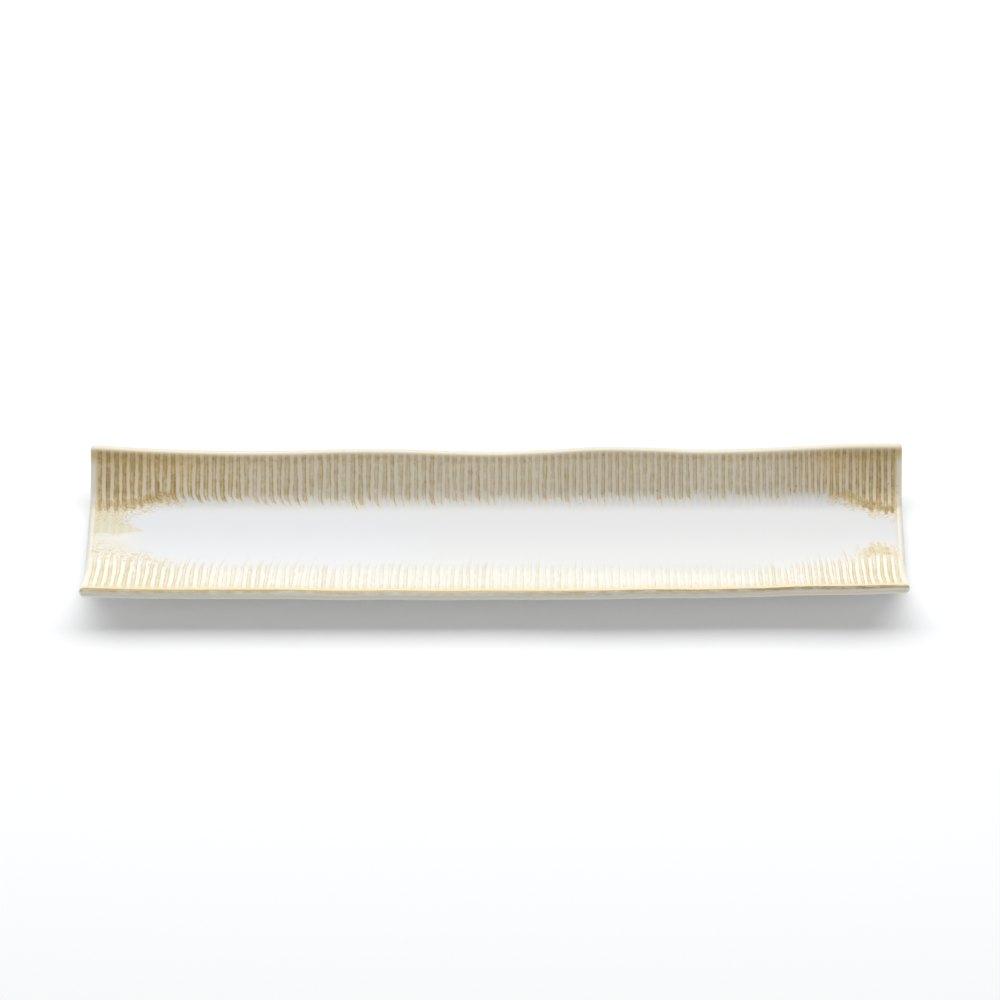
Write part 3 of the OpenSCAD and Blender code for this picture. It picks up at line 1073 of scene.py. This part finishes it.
# The cream of the glaze, made nearly white as painted light for the near outside, which lies in
# shade; the far outside, which faces the softbox, is painted greyer as painted shade.
OUTSIDE_CREAM_PAINTED_LIGHT = (0.98, 0.94, 0.80)
OUTSIDE_FAR_PAINTED_SHADE = (0.78, 0.76, 0.69)
OUTSIDE_LOW = (0.76, 0.76, 0.745)
LINE_BLUR = 0.3
BROWN_FROM, DROPS_FROM = (20.0, 90.0), (0.0, 60.0)
DROP_SPACING, DROP_SIZE = 19.0, 1.9


def outside_colour(n, spot):
    # Painted light and shade: one glaze, paler on the near outside in shade and greyer on the far
    # outside in the softbox's light.
    upper = n.mix(spot.far, OUTSIDE_CREAM_PAINTED_LIGHT, OUTSIDE_FAR_PAINTED_SHADE)
    return n.mix(n.ramp(spot.below, -8.0, -14.0), upper, OUTSIDE_LOW)


def with_lip_line(n, spot, colour, down, patchy):
    """The broken line, from its upper edge to its width down the lip."""
    width = n.layer("lip_width")
    lower_edge = n.ramp(down, n.add(width, LINE_BLUR), n.add(width, -LINE_BLUR))
    line = n.times(n.ramp(down, -LINE_BLUR, LINE_BLUR), lower_edge, spot.near)
    strong = n.times(n.ramp(patchy, 0.30, 0.55, 0.45, 1.0), n.layer("lip_strength"))
    browner = n.ramp(n.add(spot.x, n.swing(patchy, 160.0)), *BROWN_FROM)
    return n.mix(n.times(line, strong), colour, n.mix(browner, LIP_OCHRE, LIP_BROWN))


def with_outside(n, spot, colour):
    """The near lip's face, line and drops, and the outside of both walls."""
    outside = outside_colour(n, spot)
    patchy = n.noise(n.point(n.times(spot.x, 0.16), n.times(spot.below, 0.4)), 1.0, 4.0, 0.65)
    down = n.minus(n.layer("lip_line"), n.add(spot.below, n.swing(patchy, 1.8)))
    # Painted shade: past the line the lip's face goes grey before the outside colour.
    face = n.mix(n.ramp(down, 1.6, 3.8, 0.1, 1.0), LIP_PAINTED_SHADE, outside)
    colour = n.mix(n.times(n.ramp(down, 0.2, 0.9), spot.near), colour, face)
    colour = with_lip_line(n, spot, colour, down, patchy)
    drops = iron_specks(n, n.point(spot.x, n.times(spot.below, 0.6)), DROP_SPACING, DROP_SIZE)
    beside = n.times(n.ramp(n.away(down, 1.0), 2.4, 1.4), n.ramp(spot.x, *DROPS_FROM, 0.3, 0.85))
    colour = n.mix(n.times(drops, beside, spot.near), colour, LIP_BROWN)
    return n.mix(n.ramp(spot.below, -2.9, -3.6), colour, outside)


# %% [markdown]
# ## The open ends
#
# At both open ends a smooth cream band runs down, over the walls and the floor, where the
# flutes stop short of the edge. A thin broken yellow line marks its inner side, stronger
# on the far wall.

# %% End bands
END_CREAM = (0.84, 0.80, 0.68)
NEAR_YELLOW = (0.69, 0.60, 0.37)
END_BAND = 197.0


def with_end_bands(n, spot, colour):
    outward = n.math("ABSOLUTE", spot.x)
    inner = n.ramp(spot.below, 2.0, 9.0)
    band = n.times(n.ramp(outward, END_BAND - 0.2, END_BAND + 0.5), inner, 0.75)
    colour = n.mix(band, colour, END_CREAM)
    edge = n.ramp(n.away(outward, END_BAND - 0.6), 1.0, 0.2)
    edge = n.times(edge, inner, n.ramp(spot.fine, 0.2, 0.6))
    return n.mix(n.times(edge, n.ramp(spot.girth, -8.0, 14.0, 0.25, 0.75)), colour, NEAR_YELLOW)


# %% [markdown]
# ## The stain on the walls
#
# The stain is one amount, from nothing to dark. Flutes and collar add up, and the curls and
# blots take over where they are stronger. A few colours from tan to brown turn the amount
# into a colour, olive at the tips of the far drips and yellower on the near wall.

# %% The amount and colour of the stain
STAIN_GREY = (0.555, 0.485, 0.345)
STAIN_TAN = (0.62, 0.48, 0.255)
STAIN_OCHRE = (0.43, 0.312, 0.128)
STAIN_BROWN = (0.27, 0.18, 0.07)
STAIN_OLIVE = (0.42, 0.38, 0.25)
FRINGE_TAN = (0.56, 0.485, 0.31)
NEAR_GREY = (0.72, 0.68, 0.55)
DULL_FRINGE = (145.0, 175.0)
TAN_AMOUNTS, OCHRE_AMOUNTS, BROWN_AMOUNTS = (0.0, 0.36), (0.36, 0.78), (0.8, 1.25)


def stain_amount(n, spot, flutes, collar, fringe):
    amount = n.times(with_collar(n, spot, flutes, collar), n.layer("stain"))
    amount = n.most(amount, n.add(fringe, n.times(amount, 0.35)))
    under_rim = n.ramp(spot.below, n.between(spot.far, -0.7, -1.0), n.between(spot.far, 0.1, 2.3))
    return n.times(amount, under_rim)


def stained(n, spot, colour, amount, height, collar):
    tip = n.times(n.ramp(height, 5.0, 0.5), n.ramp(spot.fill, 0.95, 0.75), spot.far)
    fringe = n.times(n.ramp(height, 5.5, 1.5), n.ramp(spot.x, *DULL_FRINGE, 0.8, 0.5))
    tan = n.mix(n.most(spot.full, n.times(collar, 0.5)), STAIN_GREY, STAIN_TAN)
    tan = n.mix(fringe, tan, FRINGE_TAN)
    tan = n.mix(n.times(tip, 0.5), tan, STAIN_OLIVE)
    yellow = n.most(spot.full, n.ramp(spot.below, 9.0, 3.0, 0.0, 0.8))
    tan = n.mix(spot.near, tan, n.mix(yellow, NEAR_GREY, NEAR_YELLOW))
    ochre = n.mix(tip, STAIN_OCHRE, STAIN_OLIVE)
    for amounts, hue in ((TAN_AMOUNTS, tan), (OCHRE_AMOUNTS, ochre), (BROWN_AMOUNTS, STAIN_BROWN)):
        colour = n.mix(n.ramp(amount, *amounts), colour, hue)
    return colour


# %% [markdown]
# ## The whole glaze
#
# The layers go on in the order in which they lie: pool and ribs, the wash at the left
# end, the stain, the end bands, the rims, and the specks over all. The glaze is glossy
# where it is thick and duller where it is thin. Fine bumps give it the skin of a glaze
# that boiled a little.

# %% Glazed stoneware
SPECK_SPACING, SPECK_SIZE = 3.8, 0.6
SPECKS_FROM = (0.0, 60.0)
THICK_ROUGHNESS, THIN_ROUGHNESS = 0.30, 0.42
BUMP_HEIGHT = 0.08 * MM


def start_material(name):
    """A new material, a writer for its nodes and its shader."""
    material = bpy.data.materials.new(name)
    material.use_nodes = True
    tree = material.node_tree
    return material, Nodes(tree), tree.nodes["Principled BSDF"]


def glaze_material():
    material, n, shader = start_material("glazed_stoneware")
    spot = Spot(n)
    flutes, height = flute_pattern(n, spot)
    collar = collar_share(n, spot)
    fringe = curls_and_blots(n, spot, height)
    amount = stain_amount(n, spot, flutes, collar, fringe)

    far_wall = n.times(n.ramp(height, -5.0, 4.5), spot.far)
    near_wall = n.times(n.ramp(spot.above, -4.0, 13.0), spot.near)
    colour = n.mix(far_wall, pool_colour(n, spot), rib_colour(n, spot))
    colour = n.mix(near_wall, colour, RIB_PALE)
    colour = n.mix(wash_mask(n, spot), colour, WASH_YELLOW)
    colour = stained(n, spot, colour, amount, height, collar)
    colour = with_end_bands(n, spot, colour)
    colour = with_outside(n, spot, with_warm_rims(n, spot, colour))

    specks = iron_specks(n, spot.surface, SPECK_SPACING, SPECK_SIZE)
    shown = n.most(n.ramp(amount, 0.15, 0.5, 0.0, 0.7),
                   n.times(far_wall, n.ramp(spot.x, *SPECKS_FROM), 0.9))
    colour = n.mix(n.times(specks, shown), colour, STAIN_BROWN)
    rough = n.between(amount, THICK_ROUGHNESS, THIN_ROUGHNESS)
    skin = n.add(n.times(spot.fine, 0.5), n.times(amount, -0.6))
    n.plug(colour, shader.inputs["Base Color"])
    n.plug(rough, shader.inputs["Roughness"])
    n.plug(n.bump(skin, BUMP_HEIGHT), shader.inputs["Normal"])
    return material


glaze = glaze_material()
trough.data.materials.append(glaze)
foot.data.materials.append(glaze)
print("glaze:", len(glaze.node_tree.nodes), "nodes")

# %% [markdown]
# ## Bare clay
#
# The foot ring was wiped before firing. Bare stoneware is a warm, dry tan with fine
# grit: a rough surface, two tones of clay mixed by noise, and the same iron specks as in
# the glaze.

# %% Bare clay
CLAY_TAN = (0.52, 0.39, 0.26)
CLAY_PALE = (0.64, 0.52, 0.38)
CLAY_ROUGHNESS = 0.85
GRIT = 0.05 * MM
GRAIN_SPACING, GRAIN_SIZE = 2.5, 0.3


def clay_material():
    material, n, shader = start_material("bare_clay")
    n.plug(CLAY_ROUGHNESS, shader.inputs["Roughness"])
    place = n.tree.nodes.new("ShaderNodeTexCoord").outputs["Object"]
    in_mm = n.tree.nodes.new("ShaderNodeVectorMath")
    in_mm.operation = "SCALE"
    n.plug(1 / MM, in_mm.inputs["Scale"])
    n.plug(place, in_mm.inputs[0])
    surface = in_mm.outputs[0]
    tones = n.ramp(n.noise(surface, 0.3, 3.0, 0.6), 0.35, 0.65)
    grains = iron_specks(n, surface, GRAIN_SPACING, GRAIN_SIZE)
    colour = n.mix(n.times(grains, 0.8), n.mix(tones, CLAY_TAN, CLAY_PALE), STAIN_BROWN)
    n.plug(colour, shader.inputs["Base Color"])
    n.plug(n.bump(n.noise(surface, 2.5, 4.0, 0.7), GRIT), shader.inputs["Normal"])
    return material


clay = clay_material()
foot.data.materials.append(clay)
print("clay:", len(clay.node_tree.nodes), "nodes")

# %% [markdown]
# ## The table under it
#
# The plate stands on a plain white sweep that has no edge in the picture. One very large
# square does the same. Its white should come out as pure white without more light on the
# plate, so rays that come straight from the camera, or off the glossy glaze, see the
# square with a little glow of its own. All other rays see plain white paint.

# %% A white table
SWEEP = 4.0
SWEEP_WHITE = (0.95, 0.96, 0.97, 1)
SWEEP_GLOW = 0.12


def seen_directly(n):
    """1 for rays from the camera, off something glossy or through glass, else 0."""
    path = n.tree.nodes.new("ShaderNodeLightPath")
    kinds = [path.outputs[f"Is {kind} Ray"] for kind in ("Camera", "Glossy", "Transmission")]
    return n.math("MINIMUM", n.add(*kinds), 1.0)


def table_material():
    material = bpy.data.materials.new("white_sweep")
    material.use_nodes = True
    tree = material.node_tree
    tree.nodes.clear()
    paint = tree.nodes.new("ShaderNodeBsdfDiffuse")
    paint.inputs["Color"].default_value = SWEEP_WHITE
    glow = tree.nodes.new("ShaderNodeEmission")
    n = Nodes(tree)
    tree.links.new(n.times(seen_directly(n), SWEEP_GLOW), glow.inputs["Strength"])
    both = tree.nodes.new("ShaderNodeAddShader")
    tree.links.new(paint.outputs[0], both.inputs[0])
    tree.links.new(glow.outputs[0], both.inputs[1])
    output = tree.nodes.new("ShaderNodeOutputMaterial")
    tree.links.new(both.outputs[0], output.inputs["Surface"])
    return material


def make_table():
    mesh = bpy.data.meshes.new("table")
    corners = [(-SWEEP, -SWEEP, 0), (SWEEP, -SWEEP, 0), (SWEEP, SWEEP, 0), (-SWEEP, SWEEP, 0)]
    mesh.from_pydata(corners, [], [(0, 1, 2, 3)])
    mesh.materials.append(table_material())
    table = add_to_scene("table", mesh)
    return table


table = make_table()
print("stage:", table.name, 2 * SWEEP, "m wide")

# %% [markdown]
# ## Studio light
#
# One wide softbox hangs behind and above the plate: the near wall is bright, the far wall
# is dim, and the shadow falls towards the camera with a soft edge. How wide its edge
# blurs tells how tall the softbox looks from the plate. The room around fills the shadow.

# %% A softbox and a white room
KEY_ELEVATION = math.radians(57.2)
KEY_DISTANCE = 1.4
KEY_WIDTH = 3.6
KEY_TALL = 0.8
KEY_POWER = 31.5
ROOM_LIGHT = 0.30


def make_softbox():
    light = bpy.data.lights.new("softbox", "AREA")
    light.shape = "RECTANGLE"
    light.size = KEY_WIDTH
    light.size_y = KEY_TALL
    light.energy = KEY_POWER
    softbox = add_to_scene("softbox", light)
    behind, above = math.cos(KEY_ELEVATION), math.sin(KEY_ELEVATION)
    softbox.location = (0, KEY_DISTANCE * behind, KEY_DISTANCE * above)
    softbox.rotation_euler = (KEY_ELEVATION - math.pi / 2, 0, 0)
    return softbox


def make_room():
    """A white room that fills shadows softly and looks fully white in reflections."""
    world = bpy.data.worlds.new("studio")
    bpy.context.scene.world = world
    world.use_nodes = True
    tree = world.node_tree
    background = tree.nodes["Background"]
    background.inputs["Color"].default_value = (1, 1, 1, 1)
    n = Nodes(tree)
    strength = n.between(seen_directly(n), ROOM_LIGHT, 1.0)
    tree.links.new(strength, background.inputs["Strength"])
    return world


softbox = make_softbox()
room = make_room()
bpy.context.scene.view_settings.view_transform = "Standard"
print("softbox at", [round(c, 3) for c in softbox.location], "in the world", room.name)

# %% [markdown]
# ## Ride and finish
#
# The plate has no moving part, so both pieces ride on its one body. Together they stand for
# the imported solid, because fine flutes and a glaze that follows them need a finer mesh than
# the solid carries.

# %% Ride on the root body
for piece in (trough, foot):
    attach(piece, "root")
    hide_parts("plate")
bpy.context.view_layer.update()
